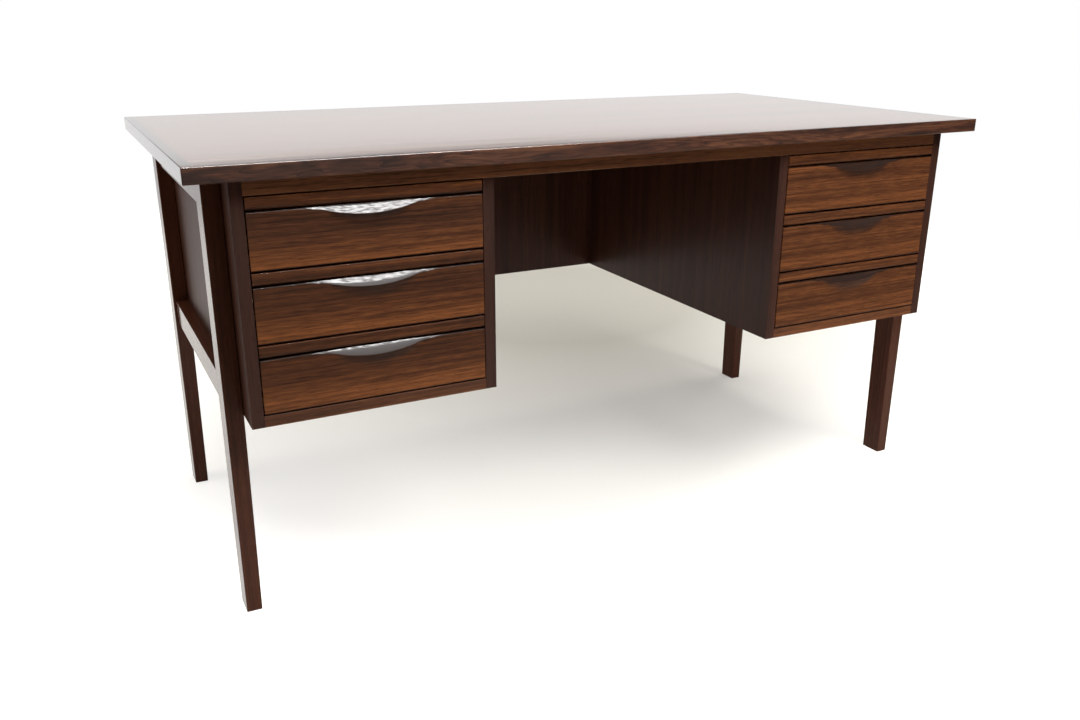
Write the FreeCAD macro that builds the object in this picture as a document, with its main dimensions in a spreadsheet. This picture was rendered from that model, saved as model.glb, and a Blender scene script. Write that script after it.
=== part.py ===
"""Kneehole desk: a lipped top on two pedestals of drawers, carried by an end frame at each end.

Millimetres. +Z is up, the drawers open towards -Y, and the origin is on the floor under the
middle of the top. Every size is a named cell of the sheet, and each piece is a body of its own.
"""
import FreeCAD, Part
import math
import os
import re

import Sketcher

DRAWER_NAMES = ("top", "middle", "bottom")
TAILS = 3

# Driving dimensions: name, millimetres, what it measures
SIZES = [
    ("top_length", 1500, "tabletop, left to right"),
    ("top_depth", 755, "tabletop, front to back"),
    ("desk_height", 745, "floor to the top face"),
    ("top_thickness", 24, "tabletop and its lippings"),
    ("lipping_width", 17, "solid lipping round the panel"),
    ("corner_block_length", 58, "solid block at each end of a short edge"),
    ("top_edge_round", 1.5, "rounding of the top's outer edges"),
    ("front_overhang", 27, "top past the front of the pedestals"),
    ("back_overhang", 27, "top past the back panel"),
    ("leg_overhang", 34, "top past the outer faces of the legs"),
    ("pedestal_width", 403, "outer faces of one pedestal"),
    ("pedestal_height", 374, "underside of the top to the pedestal's lower edge"),
    ("side_thickness", 19, "pedestal sides"),
    ("bottom_thickness", 18, "pedestal bottoms"),
    ("back_thickness", 17, "back panel"),
    ("rail_height", 24, "front rail under the top"),
    ("rail_depth", 22, "front rail, front to back"),
    ("leg_inset", 88, "top's front edge to the front leg, and the same at the back"),
    ("leg_thickness", 28, "leg, left to right, beside the pedestal"),
    ("leg_depth", 50, "leg, front to back, above the stretcher"),
    ("foot_thickness", 25, "leg, left to right, on the floor"),
    ("foot_depth", 45, "leg, front to back, on the floor"),
    ("leg_round", 2, "rounding of the legs' long edges"),
    ("frame_rail_height", 52, "upper rail of an end frame"),
    ("stretcher_rise", 9, "pedestal's lower edge to the stretcher's lower edge"),
    ("stretcher_height", 44, "lower stretcher of an end frame"),
    ("frame_rail_inset", 5, "rails of an end frame behind the legs' outer faces"),
    ("tenon_length", 22, "rail tenon in a leg"),
    ("tenon_thickness", 9, "rail tenon, left to right"),
    ("tenon_shoulder", 7, "rail edge to tenon, above and below"),
    ("cleat_width", 20, "cleat under the top, left to right"),
    ("cleat_height", 20, "cleat under the top"),
    ("cleat_length", 300, "cleat under the top, front to back"),
    ("loose_tenon_height", 40, "loose tenon between a pedestal and a leg"),
    ("loose_tenon_thickness", 10, "loose tenon, front to back"),
    ("loose_tenon_bite", 18, "loose tenon inside the leg"),
    ("loose_tenon_root", 12, "loose tenon inside the pedestal's side"),
    ("loose_tenon_spacing", 40, "loose tenon's middle to the nearest rail of the frame"),
    ("drawer_gap", 1.5, "gap round each drawer front"),
    ("front_thickness", 20, "drawer front"),
    ("front_proud", 1, "drawer front ahead of the pedestal's edges"),
    ("strip_height", 19.5, "plain strip of a drawer front above the pull"),
    ("strip_round", 5, "rounding of the strip's lower edge"),
    ("groove_height", 4, "pull groove, at the ends of the drawer front"),
    ("groove_depth", 14, "face to the back of the pull groove"),
    ("finger_rise", 8, "pull groove above the strip's lower edge, behind the strip"),
    ("scoop_drop", 15, "lowest point of the scoop's rim under the groove"),
    ("scoop_heel", 1, "drop of the scoop's ramp at its inner end"),
    ("scoop_depth", 6, "inner end of the scoop's ramp behind the face"),
    ("scoop_half", 114, "middle of the scoop to where its rim starts to fall"),
    ("lip_proud", 3.5, "lip under the scoop, ahead of the face"),
    ("lip_drop", 30, "lowest point under the groove at which the face starts to sweep out"),
    ("lip_half", 100, "half width of the lip on the face"),
    ("lip_tip_half", 72, "half width of the lip at its edge"),
    ("box_back_room", 65, "back ends of the drawer sides to the back panel"),
    ("box_rise", 6, "drawer front's lower edge to the sides' lower edges"),
    ("box_side_thickness", 12, "drawer sides"),
    ("box_side_height", 78, "drawer sides"),
    ("box_back_thickness", 11, "drawer back"),
    ("box_back_inset", 8, "drawer sides past the drawer back"),
    ("box_bottom_thickness", 5, "drawer bottom"),
    ("box_bottom_rise", 8, "sides' lower edges to the drawer bottom"),
    ("tongue", 5, "drawer bottom in the grooves of its sides and front"),
    ("housing", 4, "drawer back in the housings of its sides"),
    ("tail_length", 12, "dovetail, front to back"),
    ("tail_neck", 12, "dovetail at its root"),
    ("tail_flare", 2, "widening of a dovetail, each way"),
    ("runner_height", 14, "drawer runner"),
    ("runner_thickness", 8, "drawer runner, out from the pedestal's side"),
    ("runner_back_room", 44, "drawer runner to the back ends of the drawer sides"),
    ("runner_rise", 34, "sides' lower edges to the runner's lower face"),
    ("runner_clearance", 0.3, "runner to the walls of its groove"),
    ("runner_stop", 16, "drawer front to the closed end of the runner's groove"),
]

# Places worked out from those: name, formula, what it is
PLACES = [
    ("half_length", "top_length / 2", "middle to the top's ends"),
    ("half_depth", "top_depth / 2", "middle to the top's front and back edges"),
    ("under_top", "desk_height - top_thickness", "underside of the top"),
    ("pedestal_foot", "under_top - pedestal_height", "lower edge of the pedestals"),
    ("rail_low", "under_top - rail_height", "lower edge of the front rail"),
    ("front_plane", "front_overhang - half_depth", "front edges of the pedestals"),
    ("back_plane", "half_depth - back_overhang", "back face of the back panel"),
    ("back_face", "back_plane - back_thickness", "front face of the back panel"),
    ("leg_outer", "half_length - leg_overhang", "middle to the legs' outer faces"),
    ("pedestal_outer", "leg_outer - leg_thickness", "middle to the pedestals' outer faces"),
    ("pedestal_inner", "pedestal_outer - pedestal_width", "middle to the kneehole's walls"),
    ("pedestal_middle", "pedestal_outer - pedestal_width / 2", "middle to a pedestal's middle"),
    ("leg_reach", "half_depth - leg_inset", "middle to the legs' far faces"),
    ("frame_half", "leg_reach - leg_depth", "middle to the legs' near faces"),
    ("frame_rail_low", "under_top - frame_rail_height", "lower edge of the upper rail"),
    ("stretcher_low", "pedestal_foot + stretcher_rise", "lower edge of the stretcher"),
    ("stretcher_top", "stretcher_low + stretcher_height", "upper edge of the stretcher"),
    ("frame_rail_outer", "leg_outer - frame_rail_inset", "middle to the frame rails' outer faces"),
    ("tenon_middle", "(frame_rail_outer + pedestal_outer) / 2", "middle to the tenons' middles"),
    ("leg_middle", "leg_reach - leg_depth / 2", "middle to the legs' middles, front to back"),
    ("loose_tenon_high", "frame_rail_low - loose_tenon_spacing", "upper loose tenons' middles"),
    ("loose_tenon_low", "stretcher_top + loose_tenon_spacing", "lower loose tenons' middles"),
    ("drawer_pitch", "(rail_low - pedestal_foot - bottom_thickness - drawer_gap) / %d" % len(DRAWER_NAMES),
     "one drawer to the next"),
    ("front_height", "drawer_pitch - drawer_gap", "drawer front"),
    ("front_half", "pedestal_width / 2 - side_thickness - drawer_gap", "drawer's middle to its ends"),
    ("box_depth", "back_face - front_plane + front_proud - box_back_room",
     "drawer face to the back ends of its sides"),
    ("box_inner", "front_half - box_side_thickness", "drawer's middle to its sides' inner faces"),
    ("box_top", "box_rise + box_side_height", "upper edges of the drawer sides"),
    ("box_bottom_low", "box_rise + box_bottom_rise", "underside of the drawer bottom"),
    ("box_floor", "box_bottom_low + box_bottom_thickness", "upper face of the drawer bottom"),
    ("box_back_face", "box_depth - box_back_inset - box_back_thickness", "front of the drawer back"),
    ("strip_low", "front_height - strip_height", "upper edge of the pull groove"),
    ("ledge", "strip_low - groove_height", "lower edge of the pull groove"),
    ("groove_end", "front_thickness + runner_stop", "closed end of the runner's groove"),
    ("runner_length", "box_depth - groove_end - runner_back_room", "drawer runner, front to back"),
    ("runner_bite", "runner_thickness - drawer_gap + runner_clearance", "depth of the runner's groove"),
    ("runner_low", "box_rise + runner_rise", "lower face of the runner"),
]

# The scoop's rim is three tangent arcs. The shoulders take this share of the sum of the radii.
SHOULDER_SHARE = 0.4

doc = FreeCAD.newDocument("kneehole_desk")
sheet = doc.addObject("Spreadsheet::Sheet", "sizes")
NAMES = {row[0] for row in SIZES + PLACES}


def fill_sheet():
    """Writes the driving dimensions as plain numbers and the places as formulas."""
    entries = [(name, str(number), note) for name, number, note in SIZES]
    entries += [(name, "=" + formula, note) for name, formula, note in PLACES]
    for row, (name, content, note) in enumerate(entries, 1):
        sheet.set("A%d" % row, name)
        sheet.set("B%d" % row, content)
        sheet.setAlias("B%d" % row, name)
        sheet.set("C%d" % row, note)
    doc.recompute()


def value(expression):
    """The number that an expression over the sheet's names comes to."""
    result = sheet.evalExpression(expression)
    return float(getattr(result, "Value", result))


def bound(expression):
    """The expression with the sheet's name before each of its cells, for use on another object."""
    return re.sub(r"[a-z_]+", lambda word: ("sizes." if word.group() in NAMES else "") + word.group(),
                  expression)


def new_body(label, x="0", y="0", z="0"):
    """An empty body at a place given by expressions."""
    body = doc.addObject("PartDesign::Body", label)
    body.Label = label
    for axis, expression in zip("xyz", (x, y, z)):
        body.setExpression("Placement.Base." + axis, bound(expression))
    return body


# The origin plane square to each axis
PLANE_ROLES = {"x": "YZ_Plane", "y": "XZ_Plane", "z": "XY_Plane"}


def sketch_on(body, axis, start):
    """A sketch square to an axis at start: (y, z) for x, (x, z) for y and (x, y) for z."""
    sketch = body.newObject("Sketcher::SketchObject", "Sketch")
    plane = next(item for item in body.Origin.OriginFeatures if item.Role == PLANE_ROLES[axis])
    sketch.AttachmentSupport = (plane, "")
    sketch.MapMode = "FlatFace"
    # The plane across y has its normal towards the front
    offset = "-(%s)" % start if axis == "y" else start
    sketch.setExpression("AttachmentOffset.Base.z", bound(offset))
    return sketch


def arc_between(start, end, radius, left):
    """The shorter arc from start to end, turning left or right; sketch arcs run anticlockwise."""
    chord = end - start
    side = FreeCAD.Vector(-chord.y, chord.x, 0)
    side.normalize()
    reach = math.sqrt(radius ** 2 - chord.Length ** 2 / 4)
    centre = (start + end) / 2 + side * (reach if left else -reach)
    first, last = (start, end) if left else (end, start)
    angles = [math.atan2(point.y - centre.y, point.x - centre.x) for point in (first, last)]
    if angles[1] < angles[0]:
        angles[1] += 2 * math.pi
    circle = Part.Circle(centre, FreeCAD.Vector(0, 0, 1), radius)
    return Part.ArcOfCircle(circle, *angles)


def bind(sketch, kind, references, expression):
    """Adds a dimension to a sketch and ties it to an expression."""
    index = sketch.addConstraint(Sketcher.Constraint(kind, *references, value(expression)))
    sketch.setExpression("Constraints[%d]" % index, bound(expression))


def draw_outline(sketch, corners):
    """Draws a closed outline. A corner is (u, v), or (u, v, radius, left) to leave it by an arc."""
    base = sketch.GeometryCount
    points = [FreeCAD.Vector(value(corner[0]), value(corner[1]), 0) for corner in corners]
    count = len(corners)
    for index, corner in enumerate(corners):
        end = points[(index + 1) % count]
        if len(corner) == 2:
            sketch.addGeometry(Part.LineSegment(points[index], end), False)
        else:
            sketch.addGeometry(arc_between(points[index], end, value(corner[2]), corner[3]), False)
    # An arc that turns right is stored backwards, so its first point is the outline's second
    first_ends = [2 if len(corner) == 4 and not corner[3] else 1 for corner in corners]
    for index, corner in enumerate(corners):
        following = (index + 1) % count
        sketch.addConstraint(Sketcher.Constraint(
            "Coincident", base + index, 3 - first_ends[index], base + following, first_ends[following]))
        bind(sketch, "DistanceX", (-1, 1, base + index, first_ends[index]), corner[0])
        bind(sketch, "DistanceY", (-1, 1, base + index, first_ends[index]), corner[1])
        if len(corner) == 4:
            bind(sketch, "Radius", (base + index,), corner[2])


def rectangle(u_low, v_low, u_high, v_high):
    """The corners of a rectangle."""
    return [(u_low, v_low), (u_high, v_low), (u_high, v_high), (u_low, v_high)]


def add(body, axis, start, length, outlines):
    """Pads outlines from start towards the axis's positive end."""
    sketch = sketch_on(body, axis, start)
    for corners in outlines:
        draw_outline(sketch, corners)
    feature = body.newObject("PartDesign::Pad", "Pad")
    feature.Profile = sketch
    feature.Reversed = axis == "y"
    feature.setExpression("Length", bound(length))
    doc.recompute()


def cut(body, axis, start, length, outlines):
    """Cuts outlines from start towards the axis's positive end."""
    before = body.Shape.Volume
    sketch = sketch_on(body, axis, start)
    for corners in outlines:
        draw_outline(sketch, corners)
    feature = body.newObject("PartDesign::Pocket", "Pocket")
    feature.Profile = sketch
    feature.Reversed = axis != "y"
    feature.setExpression("Length", bound(length))
    doc.recompute()
    if body.Shape.Volume >= before:
        raise RuntimeError("a cut in %s removes nothing" % body.Label)


def round_edges(body, radius, chosen):
    """Rounds the edges that chosen picks by their bounding boxes."""
    tip = body.Tip
    edges = ["Edge%d" % number for number, edge in enumerate(tip.Shape.Edges, 1) if chosen(edge.BoundBox)]
    feature = body.newObject("PartDesign::Fillet", "Fillet")
    feature.Base = (tip, edges)
    feature.setExpression("Radius", bound(radius))
    doc.recompute()


def near(one, other):
    """Whether two lengths are the same to within a hundredth."""
    return abs(one - other) < 0.01


def left_or_right(hand, expression):
    """The expression on the right, or its mirror image on the left."""
    return expression if hand == "right" else "-(%s)" % expression


def slab_start(hand, outer, thickness):
    """Where a slab starts whose far face is at outer, on the left or the right."""
    return "%s - %s" % (outer, thickness) if hand == "right" else "-(%s)" % outer


# The top

def on_outer_rim(box):
    """Picks the level edges along the top's outer faces and its four upright corners."""
    at_end = near(abs(box.XMin), value("half_length")) and near(box.XMin, box.XMax)
    at_side = near(abs(box.YMin), value("half_depth")) and near(box.YMin, box.YMax)
    level = near(box.ZMin, box.ZMax)
    along = (at_end and box.YLength > 1) or (at_side and box.XLength > 1)
    return (level and along) or (at_end and at_side)


def make_top():
    """The veneered panel with its lippings and the blocks at the ends of the short edges."""
    inner_x = "half_length - lipping_width"
    inner_y = "half_depth - lipping_width"
    block_y = "half_depth - lipping_width - corner_block_length"
    panel = new_body("tabletop_panel")
    add(panel, "z", "under_top", "top_thickness",
        [rectangle("-(%s)" % inner_x, "-(%s)" % inner_y, inner_x, inner_y)])

    outlines = {
        "front_lipping": [rectangle("-half_length", "-half_depth", "half_length", "-(%s)" % inner_y)],
        "back_lipping": [rectangle("-half_length", inner_y, "half_length", "half_depth")],
        "left_lipping": [rectangle("-half_length", "-(%s)" % block_y, "-(%s)" % inner_x, block_y)],
        "right_lipping": [rectangle(inner_x, "-(%s)" % block_y, "half_length", block_y)],
        "corner_blocks": [
            rectangle("-half_length", "-(%s)" % inner_y, "-(%s)" % inner_x, "-(%s)" % block_y),
            rectangle("-half_length", block_y, "-(%s)" % inner_x, inner_y),
            rectangle(inner_x, "-(%s)" % inner_y, "half_length", "-(%s)" % block_y),
            rectangle(inner_x, block_y, "half_length", inner_y),
        ],
    }
    for label, rectangles in outlines.items():
        lipping = new_body(label)
        add(lipping, "z", "under_top", "top_thickness", rectangles)
        round_edges(lipping, "top_edge_round", on_outer_rim)

    cleats = new_body("top_cleats")
    add(cleats, "z", "under_top - cleat_height", "cleat_height",
        [rectangle(left_or_right(hand, near_edge), "-cleat_length / 2",
                   left_or_right(hand, far_edge), "cleat_length / 2")
         for hand in ("left", "right")
         for near_edge, far_edge in (
             ("pedestal_inner + side_thickness", "pedestal_inner + side_thickness + cleat_width"),
             ("pedestal_outer - side_thickness - cleat_width", "pedestal_outer - side_thickness"))])


# The carcass

def loose_tenon_outlines(end):
    """The two loose tenons of one leg, in (y, z)."""
    y = "-leg_middle" if end == "front" else "leg_middle"
    return [rectangle(y + " - loose_tenon_thickness / 2", z + " - loose_tenon_height / 2",
                      y + " + loose_tenon_thickness / 2", z + " + loose_tenon_height / 2")
            for z in ("loose_tenon_high", "loose_tenon_low")]


def make_outer_side(hand):
    """A pedestal side that carries an end frame, with a mortise for each loose tenon."""
    side = new_body(hand + "_outer_side")
    add(side, "x", slab_start(hand, "pedestal_outer", "side_thickness"), "side_thickness",
        [rectangle("front_plane", "pedestal_foot", "back_plane", "under_top")])
    cut(side, "x", slab_start(hand, "pedestal_outer", "loose_tenon_root"), "loose_tenon_root",
        loose_tenon_outlines("front") + loose_tenon_outlines("back"))


def make_inner_side(hand):
    """A pedestal side at the kneehole, notched under the front rail."""
    side = new_body(hand + "_inner_side")
    start = slab_start(hand, "pedestal_inner + side_thickness", "side_thickness")
    add(side, "x", start, "side_thickness", [[
        ("front_plane", "pedestal_foot"),
        ("back_face", "pedestal_foot"),
        ("back_face", "under_top"),
        ("front_plane + rail_depth", "under_top"),
        ("front_plane + rail_depth", "rail_low"),
        ("front_plane", "rail_low"),
    ]])


def make_bottom(hand):
    """A pedestal bottom between its two sides."""
    bottom = new_body(hand + "_pedestal_bottom")
    add(bottom, "z", "pedestal_foot", "bottom_thickness", [rectangle(
        left_or_right(hand, "pedestal_outer - side_thickness"), "front_plane",
        left_or_right(hand, "pedestal_inner + side_thickness"), "back_face")])


def make_rail_and_back():
    """The front rail and the back panel, both between the two outer sides."""
    reach = "pedestal_outer - side_thickness"
    rail = new_body("front_rail")
    add(rail, "y", "front_plane", "rail_depth",
        [rectangle("-(%s)" % reach, "rail_low", reach, "under_top")])
    back = new_body("back_panel")
    add(back, "y", "back_face", "back_thickness",
        [rectangle("-(%s)" % reach, "pedestal_foot", reach, "under_top")])


def drawer_low(index):
    """The lower edge of a drawer front, counted from the top one."""
    return "rail_low - %d * drawer_pitch" % (index + 1)


def make_runners(hand, wall):
    """The three runners on one side of a pedestal, each in the groove of a drawer side."""
    runners = new_body("%s_%s_runners" % (hand, wall))
    if wall == "outer":
        start = slab_start(hand, "pedestal_outer - side_thickness", "runner_thickness")
    else:
        start = slab_start(hand, "pedestal_inner + side_thickness + runner_thickness", "runner_thickness")
    front = "front_plane - front_proud + groove_end + runner_clearance"
    lows = ["%s + runner_low" % drawer_low(index) for index in range(len(DRAWER_NAMES))]
    add(runners, "x", start, "runner_thickness",
        [rectangle(front, low, front + " + runner_length", low + " + runner_height") for low in lows])


# The end frames

FRAME_RAILS = {
    "upper_rail": ("frame_rail_low", "under_top"),
    "stretcher": ("stretcher_low", "stretcher_top"),
}


def tenon_section(hand, low, high):
    """The section of a rail's tenon, across the frame."""
    middle = left_or_right(hand, "tenon_middle")
    return rectangle(middle + " - tenon_thickness / 2", low + " + tenon_shoulder",
                     middle + " + tenon_thickness / 2", high + " - tenon_shoulder")


def make_leg(hand, end):
    """A leg that tapers below the stretcher, inside the frame, and below the pedestal, beside it."""
    leg = new_body("%s_%s_leg" % (hand, end))
    sign = "-" if end == "front" else ""
    add(leg, "x", slab_start(hand, "leg_outer", "leg_thickness"), "leg_thickness", [[
        (sign + "leg_reach", "0"),
        (sign + "(leg_reach - foot_depth)", "0"),
        (sign + "frame_half", "stretcher_low"),
        (sign + "frame_half", "under_top"),
        (sign + "leg_reach", "under_top"),
    ]])
    cut(leg, "y", "-leg_reach" if end == "front" else "frame_half", "leg_depth", [[
        (left_or_right(hand, "pedestal_outer"), "0"),
        (left_or_right(hand, "pedestal_outer + leg_thickness - foot_thickness"), "0"),
        (left_or_right(hand, "pedestal_outer"), "pedestal_foot"),
    ]])
    round_edges(leg, "leg_round", lambda box: box.ZLength > value("pedestal_foot") / 2)
    cut(leg, "y", "-frame_half - tenon_length" if end == "front" else "frame_half", "tenon_length",
        [tenon_section(hand, low, high) for low, high in FRAME_RAILS.values()])
    bite = "loose_tenon_bite"
    cut(leg, "x", slab_start(hand, "pedestal_outer + " + bite, bite), bite, loose_tenon_outlines(end))


def make_frame_rail(hand, name):
    """A rail of an end frame with a tenon at each end."""
    rail = new_body("%s_%s" % (hand, name))
    low, high = FRAME_RAILS[name]
    add(rail, "y", "-frame_half", "2 * frame_half", [rectangle(
        left_or_right(hand, "frame_rail_outer"), low, left_or_right(hand, "pedestal_outer"), high)])
    add(rail, "y", "-frame_half - tenon_length", "2 * (frame_half + tenon_length)",
        [tenon_section(hand, low, high)])


def make_loose_tenons():
    """The loose tenons that join the pedestals' outer sides to the legs."""
    tenons = new_body("loose_tenons")
    length = "loose_tenon_bite + loose_tenon_root"
    for hand in ("left", "right"):
        add(tenons, "x", slab_start(hand, "pedestal_outer + loose_tenon_bite", "(%s)" % length), length,
            loose_tenon_outlines("front") + loose_tenon_outlines("back"))


# The drawers, each built about its own middle, face and lower edge

def scoop_section(drop, half, end):
    """An outline under the strip whose lower edge falls by drop, between +-half, in three arcs.

    With half width w and drop d the arcs turn by 2 atan(d / w), and their radii add up to
    (w * w + d * d) / (2 d).
    """
    turn = "(2 * atan(%s / %s))" % (drop, half)
    radii = "((%s ^ 2 + %s ^ 2) / (2 * %s))" % (half, drop, drop)
    shoulder = "%g * %s" % (SHOULDER_SHARE, radii)
    valley = "%g * %s" % (1 - SHOULDER_SHARE, radii)
    meet_u = "%s * sin(%s)" % (valley, turn)
    meet_v = "ledge - %s * (1 - cos(%s))" % (shoulder, turn)
    return [
        (end, "strip_low"),
        ("-" + end, "strip_low"),
        ("-" + end, "ledge"),
        ("-" + half, "ledge", shoulder, False),
        ("-" + meet_u, meet_v, valley, True),
        (meet_u, meet_v, shoulder, False),
        (half, "ledge"),
        (end, "ledge"),
    ]


def loft_between(body, kind, name, ends):
    """Adds or cuts the straight loft between two outlines, each given with its depth."""
    before = body.Shape.Volume
    sketches = []
    for depth, corners in ends:
        sketch = sketch_on(body, "y", depth)
        draw_outline(sketch, corners)
        sketches.append(sketch)
    loft = body.newObject("PartDesign::" + kind, name)
    loft.Profile = sketches[0]
    loft.Sections = sketches[1:]
    loft.Ruled = True
    doc.recompute()
    if near(body.Shape.Volume, before):
        raise RuntimeError("%s of %s changes nothing" % (name, body.Label))


def cut_pull(front):
    """The pull: a lip sweeps out of the face, a ramp is scooped into it up to a groove behind the strip."""
    # The cuts run past both ends of the front by the width of the gap beside it
    end = "(front_half + drawer_gap)"
    loft_between(front, "AdditiveLoft", "Lip", (
        ("0", scoop_section("lip_drop", "lip_half", "(lip_half + lip_proud)")),
        ("-lip_proud", scoop_section("scoop_drop", "lip_tip_half", "(lip_tip_half + lip_proud)"))))
    loft_between(front, "SubtractiveLoft", "Scoop", (
        ("-lip_proud", scoop_section("scoop_drop", "scoop_half", end)),
        ("scoop_depth", scoop_section("scoop_heel", "scoop_half", end))))
    cut(front, "y", "scoop_depth", "groove_depth - scoop_depth",
        [rectangle("-" + end, "ledge", end, "strip_low + finger_rise")])


def tail_outlines():
    """The dovetails of one corner in (y, z), each narrow at the back of the front."""
    outlines = []
    for number in range(TAILS):
        middle = "box_rise + box_side_height * %d / %d" % (2 * number + 1, 2 * TAILS)
        root = "front_thickness"
        tip = "front_thickness - tail_length"
        outlines.append([
            (root, middle + " - tail_neck / 2"),
            (tip, middle + " - tail_neck / 2 - tail_flare"),
            (tip, middle + " + tail_neck / 2 + tail_flare"),
            (root, middle + " + tail_neck / 2"),
        ])
    return outlines


def make_drawer(hand, index):
    """A drawer's front, sides, back and bottom."""
    name = "%s_%s_drawer_" % (hand, DRAWER_NAMES[index])
    place = (left_or_right(hand, "pedestal_middle"), "front_plane - front_proud", drawer_low(index))

    front = new_body(name + "front", *place)
    add(front, "y", "0", "front_thickness", [rectangle("-front_half", "0", "front_half", "front_height")])
    cut_pull(front)
    round_edges(front, "strip_round", lambda box: near(box.YMax, 0)
                and near(box.ZMin, value("strip_low")) and near(box.ZMax, value("strip_low")))
    for end in ("left", "right"):
        cut(front, "x", slab_start(end, "front_half", "box_side_thickness"), "box_side_thickness",
            tail_outlines())
    cut(front, "y", "front_thickness - tongue", "tongue",
        [rectangle("-box_inner - tongue", "box_bottom_low", "box_inner + tongue", "box_floor")])

    for end in ("left", "right"):
        side = new_body("%s%s_side" % (name, end), *place)
        start = slab_start(end, "front_half", "box_side_thickness")
        add(side, "x", start, "box_side_thickness",
            [rectangle("front_thickness", "box_rise", "box_depth", "box_top")])
        add(side, "x", start, "box_side_thickness", tail_outlines())
        cut(side, "x", slab_start(end, "front_half", "runner_bite"), "runner_bite", [rectangle(
            "groove_end", "runner_low - runner_clearance",
            "box_depth", "runner_low + runner_height + runner_clearance")])
        cut(side, "x", slab_start(end, "(box_inner + tongue)", "tongue"), "tongue",
            [rectangle("front_thickness - tongue", "box_bottom_low", "box_depth", "box_floor")])
        cut(side, "x", slab_start(end, "(box_inner + housing)", "housing"), "housing",
            [rectangle("box_back_face", "box_floor", "box_back_face + box_back_thickness", "box_top")])

    back = new_body(name + "back", *place)
    add(back, "y", "box_back_face", "box_back_thickness",
        [rectangle("-box_inner - housing", "box_floor", "box_inner + housing", "box_top")])

    bottom = new_body(name + "bottom", *place)
    add(bottom, "z", "box_bottom_low", "box_bottom_thickness", [rectangle(
        "-box_inner - tongue", "front_thickness - tongue", "box_inner + tongue", "box_depth")])


def make_desk():
    """Builds every piece."""
    fill_sheet()
    make_top()
    make_rail_and_back()
    for hand in ("left", "right"):
        make_outer_side(hand)
        make_inner_side(hand)
        make_bottom(hand)
        for wall in ("outer", "inner"):
            make_runners(hand, wall)
        for end in ("front", "back"):
            make_leg(hand, end)
        for name in FRAME_RAILS:
            make_frame_rail(hand, name)
        for index in range(len(DRAWER_NAMES)):
            make_drawer(hand, index)
    make_loose_tenons()


def write_parts():
    """Checks every object and writes each piece to its own file."""
    for item in doc.Objects:
        if "Invalid" in item.State or "Error" in item.State:
            raise RuntimeError("%s failed: %s" % (item.Label, item.State))
    bodies = [item for item in doc.Objects if item.TypeId == "PartDesign::Body"]
    for body in bodies:
        if body.Shape.isNull() or not body.Shape.isValid():
            raise RuntimeError("%s has no sound shape" % body.Label)
    os.makedirs("parts", exist_ok=True)
    for body in bodies:
        body.Shape.exportStep("parts/%s.step" % body.Label)
        print("%-32s %d solids %12.1f mm3" % (body.Label, len(body.Shape.Solids), body.Shape.Volume))


make_desk()
write_parts()
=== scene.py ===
"""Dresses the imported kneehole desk: lacquered rosewood, oak drawer boxes and a plain white studio.

The six drawer fronts are new pieces with their scooped pulls rounded over. Every other piece is the
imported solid, most of them with their edges softened. Metres, in the frame of the part: +Z is up and the
drawers open towards -Y.
"""
import math

import bpy
import numpy as np
from mathutils import Matrix, Vector


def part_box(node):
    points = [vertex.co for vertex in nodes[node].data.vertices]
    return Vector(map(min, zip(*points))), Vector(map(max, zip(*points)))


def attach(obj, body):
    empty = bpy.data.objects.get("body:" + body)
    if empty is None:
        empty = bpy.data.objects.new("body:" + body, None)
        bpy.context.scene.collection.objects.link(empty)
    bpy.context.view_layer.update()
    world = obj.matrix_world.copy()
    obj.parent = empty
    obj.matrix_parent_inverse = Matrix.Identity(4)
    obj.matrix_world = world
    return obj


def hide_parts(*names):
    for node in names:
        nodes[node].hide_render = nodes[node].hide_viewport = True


bl_info = {
    "name": "Kneehole desk",
    "version": (1, 0, 0),
    "blender": (4, 5, 0),
    "location": "View3D > Sidebar > Desk",
    "description": "Drawer fronts, wood finishes and a studio for the kneehole desk",
    "category": "Object",
}

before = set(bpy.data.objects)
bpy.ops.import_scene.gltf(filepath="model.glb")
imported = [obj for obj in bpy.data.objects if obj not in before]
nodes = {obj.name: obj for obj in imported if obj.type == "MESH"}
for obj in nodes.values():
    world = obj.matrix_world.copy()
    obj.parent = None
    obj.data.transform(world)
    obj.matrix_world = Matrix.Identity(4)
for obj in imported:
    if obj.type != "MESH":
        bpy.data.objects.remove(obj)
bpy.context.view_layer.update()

HANDS = ("left", "right")
LEVELS = ("top", "middle", "bottom")
DRAWERS = ["%s_%s_drawer" % (hand, level) for hand in HANDS for level in LEVELS]
MM = 0.001
X, Y, Z = 0, 1, 2


def linear(colour):
    """The linear RGBA of an sRGB hex colour such as 6b3f24."""
    parts = [int(colour[start:start + 2], 16) / 255 for start in (0, 2, 4)]
    return [part / 12.92 if part <= 0.04045 else ((part + 0.055) / 1.055) ** 2.4 for part in parts] + [1.0]


def length(name, description, millimetres):
    """A length that a user may change."""
    return bpy.props.FloatProperty(name=name, description=description, default=millimetres * MM,
                                   min=0.0, precision=4, unit="LENGTH")


def colour(name, description, value):
    """A colour that a user may change."""
    return bpy.props.FloatVectorProperty(name=name, description=description, default=linear(value), size=4,
                                         min=0.0, max=1.0, subtype="COLOR")


def power(name, description, watts):
    """The power of a light that a user may change."""
    return bpy.props.FloatProperty(name=name, description=description, default=watts, min=0.0, unit="POWER")


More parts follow.
